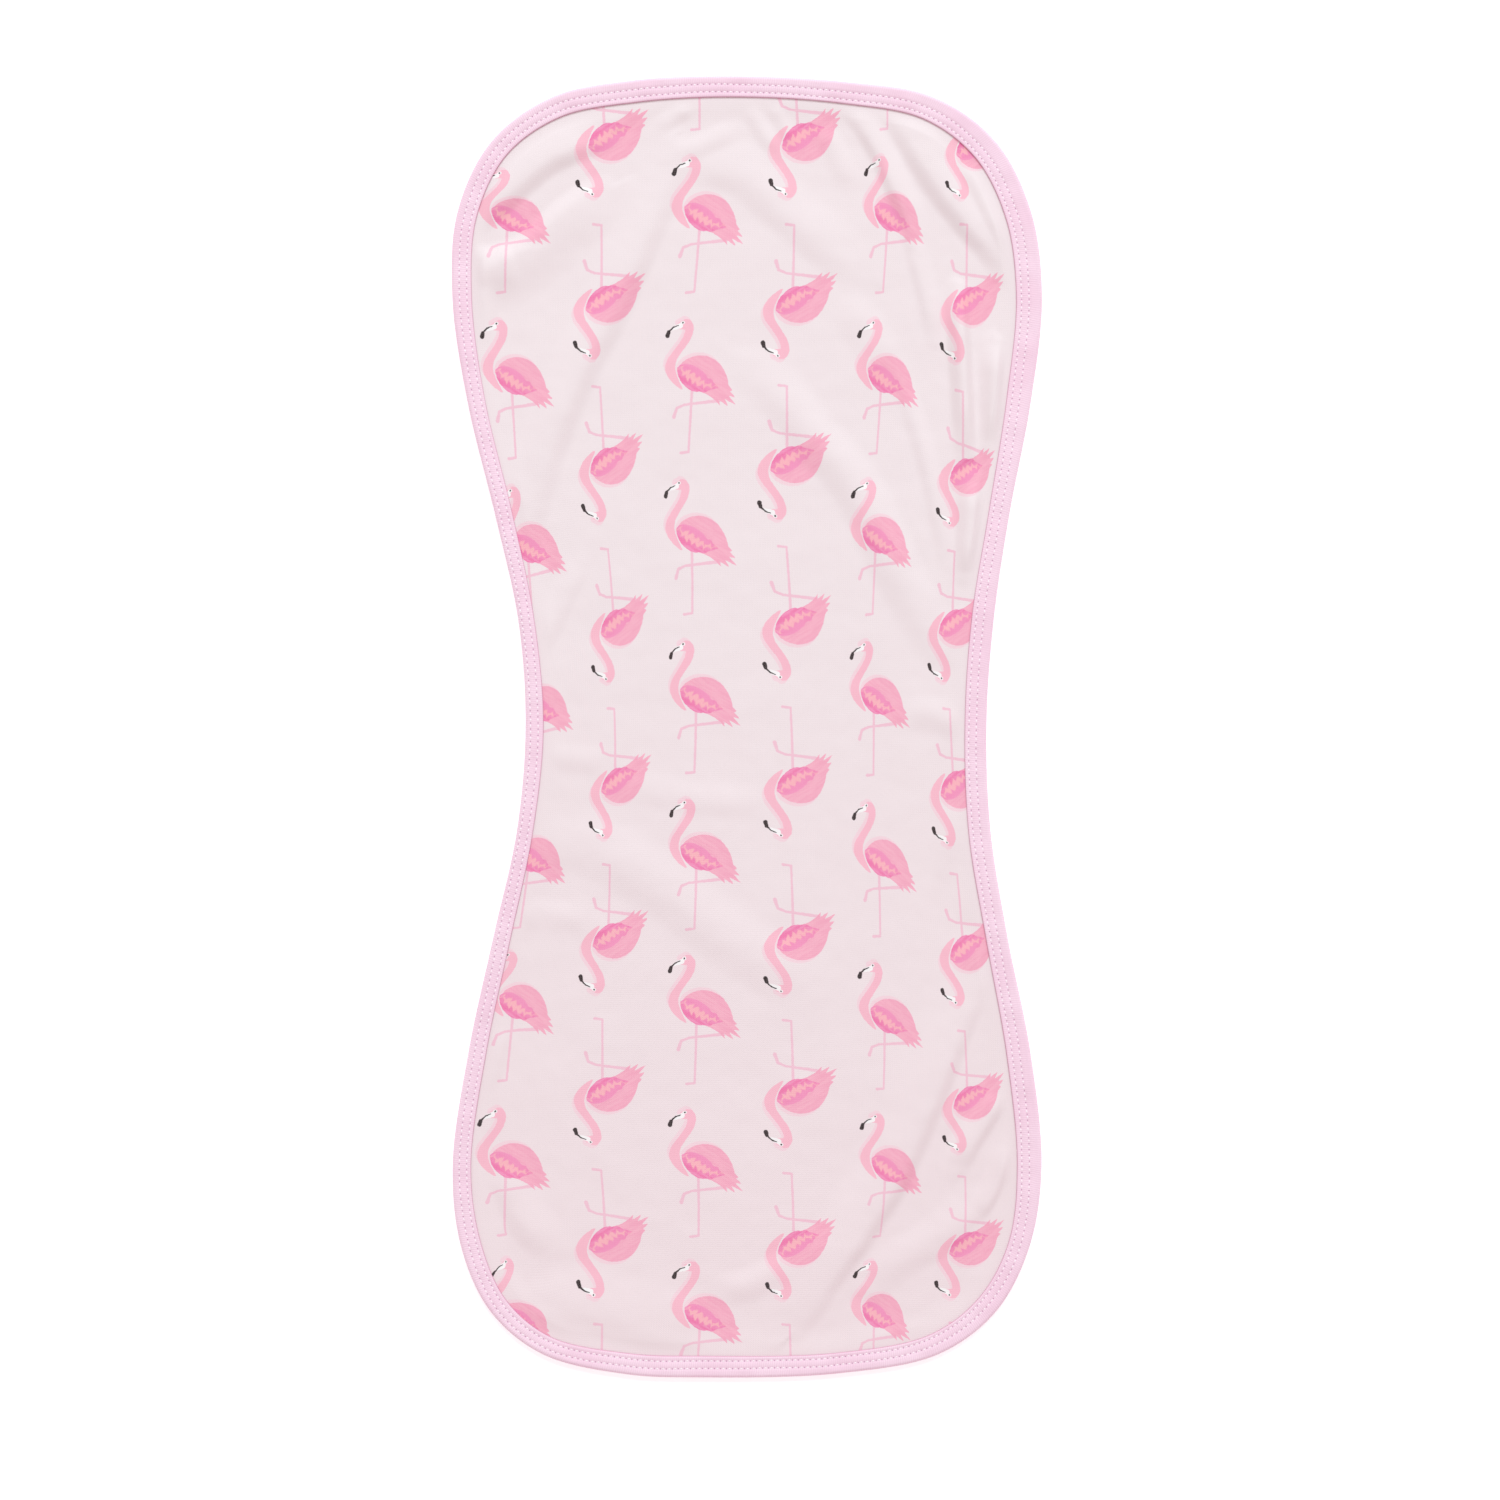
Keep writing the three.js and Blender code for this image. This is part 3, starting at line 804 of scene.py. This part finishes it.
def new_group(name, vectors, numbers, results):
    """A node group that takes vectors and numbers, and the nodes that give these and take results."""
    group = bpy.data.node_groups.new(name, "ShaderNodeTree")
    for labels, in_out, kind in (
        (vectors, "INPUT", "Vector"), (numbers, "INPUT", "Float"), (results, "OUTPUT", "Float")
    ):
        for label in labels:
            group.interface.new_socket(name=label, in_out=in_out, socket_type="NodeSocket" + kind)
    return group, group.nodes.new("NodeGroupInput").outputs, group.nodes.new("NodeGroupOutput")


stroke, given, result = new_group(
    "brush stroke", ["Place", "From", "Reach"], ["Half width", "Widening"], ["Distance"]
)
reach = given["Reach"]
offset = add(stroke, "VectorMath SUBTRACT", [given["Place"], given["From"]])
ahead = add(stroke, "VectorMath DOT_PRODUCT", [offset, reach], "Value")
whole = add(stroke, "VectorMath DOT_PRODUCT", [reach, reach], "Value")
share = add(stroke, "Math DIVIDE", [ahead, whole], use_clamp=True)
nearest = add(stroke, "VectorMath SCALE", {0: reach, "Scale": share})
gap = add(stroke, "VectorMath DISTANCE", [offset, nearest], "Value")
width = add(stroke, "Math MULTIPLY_ADD", [share, given["Widening"], given["Half width"]])
depth = add(stroke, "Math SUBTRACT", [gap, width])
plug(stroke, result, {"Distance": depth})


def brushed(tree, place, start, end, half_width, end_half_width):
    """A stroke of the brush from one place to another, as a distance from its edge."""
    reach = (end[0] - start[0], end[1] - start[1], 0)
    widening = end_half_width - half_width
    return add(tree, "Group", [place, (*start, 0), reach, half_width, widening], node_tree=stroke)


# %% A curve node that holds a table


def table_curve(tree, share, places, values):
    """A float curve node with the given values at the given places, all of them from 0 to 1."""
    curve = add(tree, "FloatCurve", {1: share})
    mapping = curve.node.mapping
    line = mapping.curves[0]
    while len(line.points) < len(places):
        line.points.new(0.5, 0.5)
    for point, place, value in zip(line.points, places.tolist(), values.tolist()):
        point.location = (place, value)
    mapping.update()
    return curve


# %% The body, the neck and the head, as a group
TAIL_POINTS = slice(6, 17)
NECK_REACH = -14
NECK_FULL = 3
NECK_ROUNDING = 0.4
HEAD = ((-6.0, 23.5), (-8.2, 23.0), 2.2, 1.6)
HEAD_MELT = 0.8
CLEARANCE = 0.75

outline, given, result = new_group("bird silhouette", ["Place"], [], ["Body", "Neck"])
place = given["Place"]
from_middle = add(outline, "VectorMath SUBTRACT", [place, (*BODY_MIDDLE, 0)])
parts = add(outline, "SeparateXYZ", [from_middle]).node.outputs
angle = add(outline, "Math ARCTAN2", [parts[1], parts[0]])
angle_share = add(outline, "Math MULTIPLY_ADD", [angle, 1 / (2 * math.pi), 0.5])
angles, radii = np.array(BODY_OUTLINE).T
radius = table_curve(outline, angle_share, (angles + 180) / 360, radii / BODY_SCALE)
for point in radius.node.mapping.curves[0].points[TAIL_POINTS]:
    point.handle_type = "VECTOR"
radius.node.mapping.update()
distance = add(outline, "VectorMath LENGTH", [from_middle], "Value")
body = add(outline, "Math MULTIPLY_ADD", [radius, -BODY_SCALE, distance])

across, up = add(outline, "SeparateXYZ", [place]).node.outputs[:2]
up_share = add(outline, "MapRange", {0: up, 1: NECK_LOW, 2: NECK_HIGH})
heights, middles, widths = np.array(NECK).T
height_shares = (heights - NECK_LOW) / NECK_SPAN
neck_middle = table_curve(outline, up_share, height_shares, middles / NECK_REACH)
neck_width = table_curve(outline, up_share, height_shares, widths / NECK_FULL)
off_line = add(outline, "Math MULTIPLY_ADD", [neck_middle, -NECK_REACH, across])
off_line = add(outline, "Math ABSOLUTE", [off_line])
neck = add(outline, "Math MULTIPLY_ADD", [neck_width, -NECK_FULL, off_line])
off_middle = add(outline, "Math SUBTRACT", [up, (NECK_LOW + NECK_HIGH) / 2])
off_middle = add(outline, "Math ABSOLUTE", [off_middle])
past_end = add(outline, "Math SUBTRACT", [off_middle, NECK_SPAN / 2 - NECK_ROUNDING])
neck = add(outline, "Math MAXIMUM", [neck, past_end])
head = brushed(outline, place, *HEAD)
neck = add(outline, "Math SMOOTH_MIN", [neck, head, HEAD_MELT])
# The body is cut back from the neck, which leaves a thin pale line between them
clear = add(outline, "Math SUBTRACT", [CLEARANCE, neck])
body = add(outline, "Math MAXIMUM", [body, clear])
plug(outline, result, {"Body": body, "Neck": neck})
print("nodes in the bird's outline:", len(outline.nodes))

# %% [markdown]
# ## The printed knit
# Cotton interlock is off-white here, printed with pigment inks that sink in and stay matt. Up close its
# surface is a field of fine upright columns of loops. The birds stand in columns, each second column
# upside down and half a step along, which a cloth printed for both directions often has.

# %% Where each bird stands
COLUMN_STEP = 41.5
FIRST_COLUMN = -21.0
ROW_STEP = 67.9
UPRIGHT_ROW = 12.0
FLIPPED_ROW = 46.5
BIRD_LOW = 39.5

printed, knit, knit_shader = new_material("printed cotton interlock")
cloth_uv = add(knit, "UVMap", uv_map="cloth")
cloth_x, cloth_y = add(knit, "SeparateXYZ", [cloth_uv]).node.outputs[:2]
columns = add(knit, "Math MULTIPLY_ADD", [cloth_x, 1 / COLUMN_STEP, -FIRST_COLUMN / COLUMN_STEP])
column = add(knit, "Math ROUND", [columns])
bird_x = add(knit, "Math SUBTRACT", [columns, column])
bird_x = add(knit, "Math MULTIPLY", [bird_x, COLUMN_STEP])
flipped = add(knit, "Math FLOORED_MODULO", [column, 2])
upright_y = add(knit, "Math ADD", [cloth_y, BIRD_LOW - UPRIGHT_ROW])
flipped_y = add(knit, "Math SUBTRACT", [BIRD_LOW + FLIPPED_ROW, cloth_y])
bird_y = add(knit, "Mix", {0: flipped, 2: upright_y, 3: flipped_y})
bird_y = add(knit, "Math FLOORED_MODULO", [bird_y, ROW_STEP])
bird_y = add(knit, "Math SUBTRACT", [bird_y, BIRD_LOW])
bird_place = add(knit, "CombineXYZ", [bird_x, bird_y])

# %% The edges of a print waver a little, because ink creeps along the yarn
CREEP_SCALE = 0.9
CREEP_REACH = 0.55
creep = add(knit, "TexNoise", {"Vector": cloth_uv, "Scale": CREEP_SCALE, "Detail": 2.0}, "Color")
creep = add(knit, "VectorMath SUBTRACT", [creep, (0.5, 0.5, 0.5)])
creep = add(knit, "VectorMath SCALE", {0: creep, "Scale": CREEP_REACH})
bird_place = add(knit, "VectorMath ADD", [bird_place, creep])

# %% Ink colours
GROUND = linear("#ECDEE1")
GROUND_PAINTED_FALLOFF = linear("#ECDADE")
WASH = linear("#F0D0D9")
LEG_PINK = linear("#EEBFCF")
NECK_PINK = linear("#F4B6C7")
BODY_PINK = linear("#F3AEC2")
TAIL_PINK = linear("#F0A4BC")
WING_MAGENTA = linear("#F093BB")
WING_DEEP = linear("#EC74A8")
PEACH = linear("#F7B5BA")
BILL_WHITE = linear("#F5F1F2")
BILL_TIP = linear("#220A0D")
LOOP_PALE = linear("#F1E9EB")
EDGE = 0.16


def over(below, ink, distance, soft=EDGE, strength=1.0):
    """Prints an ink over what is there, inside a form."""
    cover = add(knit, "MapRange", {0: distance, 1: soft, 2: -soft, 3: 0.0, 4: strength},
                interpolation_type="SMOOTHSTEP")
    return add(knit, "Mix", {0: cover, 6: below, 7: ink}, 2, data_type="RGBA")


# %% The ground, a touch pinker towards the lower end: painted shade where the lamp's light falls off
PINKER_FROM, PINKER_TO = 60.0, -250.0
painted_falloff = add(knit, "MapRange", {0: cloth_y, 1: PINKER_FROM, 2: PINKER_TO})
ground = add(knit, "Mix", {0: painted_falloff, 6: GROUND, 7: GROUND_PAINTED_FALLOFF}, 2, data_type="RGBA")

# %% The pale wash under the bird, set off a little as if by a second screen
WASH_SHIFT = (-0.9, 1.3, 0)
WASH_EDGE = 0.3
shifted = add(knit, "VectorMath SUBTRACT", [bird_place, WASH_SHIFT])
wash = add(knit, "Group", [shifted], node_tree=outline).node.outputs
wash_form = add(knit, "Math MINIMUM", [wash["Body"], wash["Neck"]])
colour = over(ground, WASH, wash_form, WASH_EDGE)

# %% Legs: one to stand on and one folded up
# Each row is a stroke: where it starts and ends, and half its width there
LEGS = [
    ((-2.1, -4.5), (-2.4, -17.5), 0.62, 0.50),
    ((-2.4, -17.5), (-2.9, -30.4), 0.50, 0.48),
    ((-2.9, -30.6), (-6.4, -31.0), 0.50, 0.62),
    ((4.0, -5.0), (9.8, -8.9), 0.75, 0.80),
    ((9.8, -8.9), (-5.2, -10.6), 0.75, 0.50),
    ((-5.2, -10.6), (-8.6, -12.0), 0.50, 0.60),
    ((-8.6, -12.0), (-9.9, -15.7), 0.60, 0.85),
]
for leg in LEGS:
    colour = over(colour, LEG_PINK, brushed(knit, bird_place, *leg))

# %% Body, tail and neck in one pink, deeper where the brush was full
FEATHER_GRAIN = (0.10, 0.75, 1.0)
GRAIN_LOW, GRAIN_HIGH = 0.40, 0.62
bird = add(knit, "Group", [bird_place], node_tree=outline).node.outputs
turned = {"Vector": bird_place, "Angle": math.radians(-WING_TURN)}
grain = add(knit, "VectorRotate", turned, rotation_type="Z_AXIS")
grain = add(knit, "VectorMath MULTIPLY", [grain, FEATHER_GRAIN])
feathers = add(knit, "TexNoise", {"Vector": grain, "Scale": 1.0, "Detail": 3.0}, "Fac")
feathers = add(knit, "MapRange", {0: feathers, 1: GRAIN_LOW, 2: GRAIN_HIGH})
body_ink = add(knit, "Mix", {0: feathers, 6: BODY_PINK, 7: TAIL_PINK}, 2, data_type="RGBA")
colour = over(colour, body_ink, bird["Body"])
colour = over(colour, NECK_PINK, bird["Neck"])

# %% The wing, deeper along its lower side
DEEP_SIDE, PALE_SIDE = -3.4, 4.8
from_root = add(knit, "VectorMath SUBTRACT", [bird_place, (*WING_ROOT, 0)])
turned = {"Vector": from_root, "Angle": math.radians(-WING_TURN)}
wing_place = add(knit, "VectorRotate", turned, rotation_type="Z_AXIS")
wing_along, wing_side = add(knit, "SeparateXYZ", [wing_place]).node.outputs[:2]
along_share = add(knit, "Math DIVIDE", [wing_along, WING_LENGTH])
lengths, bows, widths = np.array(WING).T
bow = table_curve(knit, along_share, lengths / WING_LENGTH, 0.5 + bows / WING_SCALE)
wing_width = table_curve(knit, along_share, lengths / WING_LENGTH, widths / WING_SCALE)
bow = add(knit, "Math MULTIPLY_ADD", [bow, -WING_SCALE, 0.5 * WING_SCALE])
wing_across = add(knit, "Math ADD", [wing_side, bow])
off_middle = add(knit, "Math ABSOLUTE", [wing_across])
wing = add(knit, "Math MULTIPLY_ADD", [wing_width, -WING_SCALE, off_middle])
before_root = add(knit, "Math SUBTRACT", [0.0, wing_along])
beyond_tip = add(knit, "Math SUBTRACT", [wing_along, WING_LENGTH])
for limit in (before_root, beyond_tip):
    wing = add(knit, "Math MAXIMUM", [wing, limit])
wing_shade = add(knit, "MapRange", {0: wing_across, 1: DEEP_SIDE, 2: PALE_SIDE})
wing_ink = add(knit, "Mix", {0: wing_shade, 6: WING_DEEP, 7: WING_MAGENTA}, 2, data_type="RGBA")
wing_ink = add(knit, "Mix", {0: feathers, 6: wing_ink, 7: WING_MAGENTA}, 2, data_type="RGBA")
colour = over(colour, wing_ink, wing)

# %% A peach streak that zigzags down the wing
ZIGZAG_STEP = 1.4
ZIGZAG_REACH = 0.9
RAGGED_SCALE = 0.35
RAGGED_REACH = 4.0
STREAK_FRAY = 0.6
STREAK_WIDTH = 1.8
STREAK_EDGE = 0.5
STREAK_STRENGTH = 0.85
ragged = add(knit, "TexNoise", {"Vector": bird_place, "Scale": RAGGED_SCALE, "Detail": 2.0}, "Fac")
ragged = add(knit, "Math MULTIPLY_ADD", [ragged, RAGGED_REACH, wing_along])
zigzag = add(knit, "Math PINGPONG", [ragged, ZIGZAG_STEP])
zigzag = add(knit, "Math MULTIPLY_ADD", [zigzag, ZIGZAG_REACH / ZIGZAG_STEP * 2, -ZIGZAG_REACH])
off_streak = add(knit, "Math SUBTRACT", [wing_across, zigzag])
off_streak = add(knit, "Math ABSOLUTE", [off_streak])
off_streak = add(knit, "Math MULTIPLY_ADD", [feathers, STREAK_FRAY, off_streak])
streak_width = add(knit, "Math MULTIPLY", [wing_width, STREAK_WIDTH])
streak = add(knit, "Math SUBTRACT", [off_streak, streak_width])
streak = add(knit, "Math MAXIMUM", [streak, wing])
colour = over(colour, PEACH, streak, STREAK_EDGE, STREAK_STRENGTH)

# %% The head's pale cheek, its bill and its eye
# Each row: ink, how soft its edge is, and the stroke
BILL = [
    (BILL_WHITE, EDGE, (-8.4, 22.9), (-11.6, 21.7), 1.15, 0.70),
    (BILL_TIP, 0.15, (-13.4, 20.3), (-13.9, 18.7), 0.78, 0.98),
    (BILL_TIP, 0.12, (-9.2, 23.1), (-11.4, 22.3), 0.20, 0.28),
    (BILL_TIP, 0.12, (-11.4, 22.3), (-13.2, 20.6), 0.28, 0.40),
    (BILL_WHITE, 0.20, (-7.1, 24.3), (-7.6, 24.1), 0.70, 0.70),
    (BILL_TIP, 0.12, (-7.2, 24.3), (-7.3, 24.2), 0.34, 0.34),
]
for ink, soft, *form in BILL:
    colour = over(colour, ink, brushed(knit, bird_place, *form), soft)

# %% The knit itself: upright columns of V-shaped loops
# Real wales are about 0.7 mm apart, too fine for the picture, so they are drawn 1.1 mm apart.
WALE_STEP = 1.1
COURSE_STEP = 0.9
V_SLOPE = 0.9
YARN_WAVER = 0.5
FURROW_SHARE = 0.6
FUZZ_SCALE = 1.3
FUZZ_SHARE = 3.0
LOOP_LOW, LOOP_HIGH, LOOP_PALENESS = 0.2, 3.2, 0.08
KNIT_DENTS = 0.06 * MM
yarn_place = add(knit, "VectorMath SCALE", {0: creep, "Scale": YARN_WAVER})
yarn_place = add(knit, "VectorMath ADD", [yarn_place, cloth_uv])
yarn_x, yarn_y = add(knit, "SeparateXYZ", [yarn_place]).node.outputs[:2]
off_wale = add(knit, "Math PINGPONG", [yarn_x, WALE_STEP / 2])
phase = add(knit, "Math MULTIPLY_ADD", [off_wale, V_SLOPE, yarn_y])
phase = add(knit, "Math MULTIPLY", [phase, 2 * math.pi / COURSE_STEP])
loops = add(knit, "Math SINE", [phase])
furrows = add(knit, "Math MULTIPLY", [off_wale, 2 * math.pi / WALE_STEP])
furrows = add(knit, "Math COSINE", [furrows])
loops = add(knit, "Math MULTIPLY_ADD", [furrows, FURROW_SHARE, loops])
fuzz = add(knit, "TexNoise", {"Vector": cloth_uv, "Scale": FUZZ_SCALE, "Detail": 3.0}, "Fac")
relief = add(knit, "Math MULTIPLY_ADD", [fuzz, FUZZ_SHARE, loops])
pale = add(knit, "MapRange", {0: relief, 1: LOOP_LOW, 2: LOOP_HIGH, 3: LOOP_PALENESS, 4: 0.0})
colour = add(knit, "Mix", {0: pale, 6: colour, 7: LOOP_PALE}, 2, data_type="RGBA")
dents = {"Strength": 0.35, "Distance": KNIT_DENTS, "Height": relief}
plug(knit, knit_shader, {
    "Base Color": colour, "Normal": add(knit, "Bump", dents, "Normal"), "Roughness": 0.92,
    "Specular IOR Level": 0.25, "Sheen Weight": 0.12, "Sheen Roughness": 0.6,
})
print("nodes in the print:", len(knit.nodes))

# %% [markdown]
# ## The binding's rib and its thread
# The strip is a fine pink rib knit. Its ribs cross the strip, because it was cut along them, and the
# needle has left a small hole at each end of every stitch, painted darker as the shade inside it. The
# thread is spun polyester of nearly the same pink, a touch paler and glossier than the knit, so that the
# rows read as light dots.

# %% Pink rib
# Real ribs are about 0.6 mm apart, so these are drawn coarser too.
RIB_STEP = 0.95
WAVER_SCALE = 0.35
WAVER_REACH = 0.9
RIB_LEAN = 0.12
LINT_SCALE = 1.6
LINT_SHARE = 2.0

rib_pink, rib, rib_shader = new_material("pink cotton rib")
strip_uv = add(rib, "UVMap", uv_map="strip")
strip_along, strip_depth = add(rib, "SeparateXYZ", [strip_uv]).node.outputs[:2]
waver = add(rib, "TexNoise", {"Vector": strip_uv, "Scale": WAVER_SCALE, "Detail": 2.0}, "Fac")
phase = add(rib, "Math MULTIPLY_ADD", [waver, WAVER_REACH, strip_along])
phase = add(rib, "Math MULTIPLY_ADD", [strip_depth, RIB_LEAN, phase])
phase = add(rib, "Math MULTIPLY", [phase, 2 * math.pi / RIB_STEP])
ribs = add(rib, "Math SINE", [phase])
lint = add(rib, "TexNoise", {"Vector": strip_uv, "Scale": LINT_SCALE, "Detail": 3.0}, "Fac")
rib_relief = add(rib, "Math MULTIPLY_ADD", [lint, LINT_SHARE, ribs])

# %% Needle holes
HOLE_FULL, HOLE_REACH = 0.15, 0.40
stitch_step = perimeter / STITCH_COUNT
hole_phase = add(rib, "Math PINGPONG", [strip_along, stitch_step / 2])
hole_spots = []
for row in (INNER_ROW, OUTER_ROW):
    off_row = add(rib, "Math SUBTRACT", [strip_depth, row])
    spot = add(rib, "CombineXYZ", [hole_phase, off_row])
    hole_spots.append(add(rib, "VectorMath LENGTH", [spot], "Value"))
hole_gap = add(rib, "Math MINIMUM", hole_spots)
holes = add(rib, "MapRange", {0: hole_gap, 1: HOLE_FULL, 2: HOLE_REACH, 3: 1.0, 4: 0.0},
            interpolation_type="SMOOTHSTEP")
print("one stitch to the next, mm:", round(stitch_step, 2))

# %% The strip's pinks: the dye's slow changes, and painted shade in the rib furrows, in the needle holes and along the folded edge
PINK = linear("#F7DAE9")
PINK_SHADE = linear("#EECADD")
PINK_DEEP = linear("#F2C9DD")
# The needle holes' colour is painted shade, the shadow inside each hole
HOLE_SHADE = linear("#C697B4")
LIP_SHADE_PINK = linear("#DFA5BF")
LIP_FULL, LIP_WIDTH, LIP_STRENGTH = 0.1, 0.3, 0.9
DYE_SCALE, DYE_LOW, DYE_HIGH, DYE_STRENGTH = 0.035, 0.42, 0.62, 0.55
FURROW_LOW, FURROW_HIGH, FURROW_STRENGTH = 0.2, 2.2, 0.7
HOLE_DEPTH = 3.0
RIB_DENTS = 0.08 * MM
dyed = add(rib, "TexNoise", {"Vector": strip_uv, "Scale": DYE_SCALE, "Detail": 1.0}, "Fac")
dyed = add(rib, "MapRange", {0: dyed, 1: DYE_LOW, 2: DYE_HIGH, 3: 0.0, 4: DYE_STRENGTH})
# Painted shade: the furrows between the ribs are darkened towards PINK_SHADE
painted_furrow_shade = add(rib, "MapRange",
             {0: rib_relief, 1: FURROW_LOW, 2: FURROW_HIGH, 3: FURROW_STRENGTH, 4: 0.0})
# Painted shade: a deeper pink line along the folded edge that lies on the panel, for the shadow under
# the binding's lip
painted_lip_shade = add(rib, "MapRange", {0: strip_depth, 1: LIP_WIDTH, 2: LIP_FULL, 3: 0.0, 4: LIP_STRENGTH})
pink = PINK
for cover, tint in ((dyed, PINK_DEEP), (painted_furrow_shade, PINK_SHADE), (holes, HOLE_SHADE), (painted_lip_shade, LIP_SHADE_PINK)):
    pink = add(rib, "Mix", {0: cover, 6: pink, 7: tint}, 2, data_type="RGBA")
pressed = add(rib, "Math MULTIPLY_ADD", [holes, -HOLE_DEPTH, rib_relief])
dents = {"Strength": 0.4, "Distance": RIB_DENTS, "Height": pressed}
plug(rib, rib_shader, {
    "Base Color": pink, "Normal": add(rib, "Bump", dents, "Normal"), "Roughness": 0.85,
    "Specular IOR Level": 0.3, "Sheen Weight": 0.15, "Sheen Roughness": 0.5,
})

# %% Thread and floor
# The paper gives a white that keeps a faint shadow under the cloth's edge.


def mottled(tree, scale, detail, one, other):
    """Two colours that change places softly, by the object's own coordinates."""
    place = add(tree, "TexCoord", give="Object")
    share = add(tree, "TexNoise", {"Vector": place, "Scale": scale, "Detail": detail}, "Fac")
    return add(tree, "Mix", {0: share, 6: linear(one), 7: linear(other)}, 2, data_type="RGBA")


TWIST_SCALE = 2200.0
PAPER_SCALE = 5.0
thread_pink, thread, thread_shader = new_material("spun polyester thread")
twist = mottled(thread, TWIST_SCALE, 1.0, "#FDF2F8", "#F8E0EC")
plug(thread, thread_shader, {"Base Color": twist, "Roughness": 0.55})

paper, sheet, paper_shader = new_material("white studio paper")
plug(sheet, paper_shader, {
    "Base Color": mottled(sheet, PAPER_SCALE, 2.0, "#FAFAFA", "#FDFDFD"), "Roughness": 1.0,
    "Specular IOR Level": 0.0, "Emission Color": (1, 1, 1, 1), "Emission Strength": FLOOR_GLOW,
})

for piece, material in (
    (panel, printed), (binding, rib_pink), (face_stitches, thread_pink),
    (back_stitches, thread_pink), (floor, paper),
):
    piece.data.materials.append(material)

# %% [markdown]
# ## Hand over
# Each piece rides on the cloth's one body, and the panel and the binding stand for their CAD nodes.

# %% Ride, replace, finish
for piece in (panel, binding, face_stitches, back_stitches):
    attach(piece, "root")
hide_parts("panel")
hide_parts("binding")
deselect()
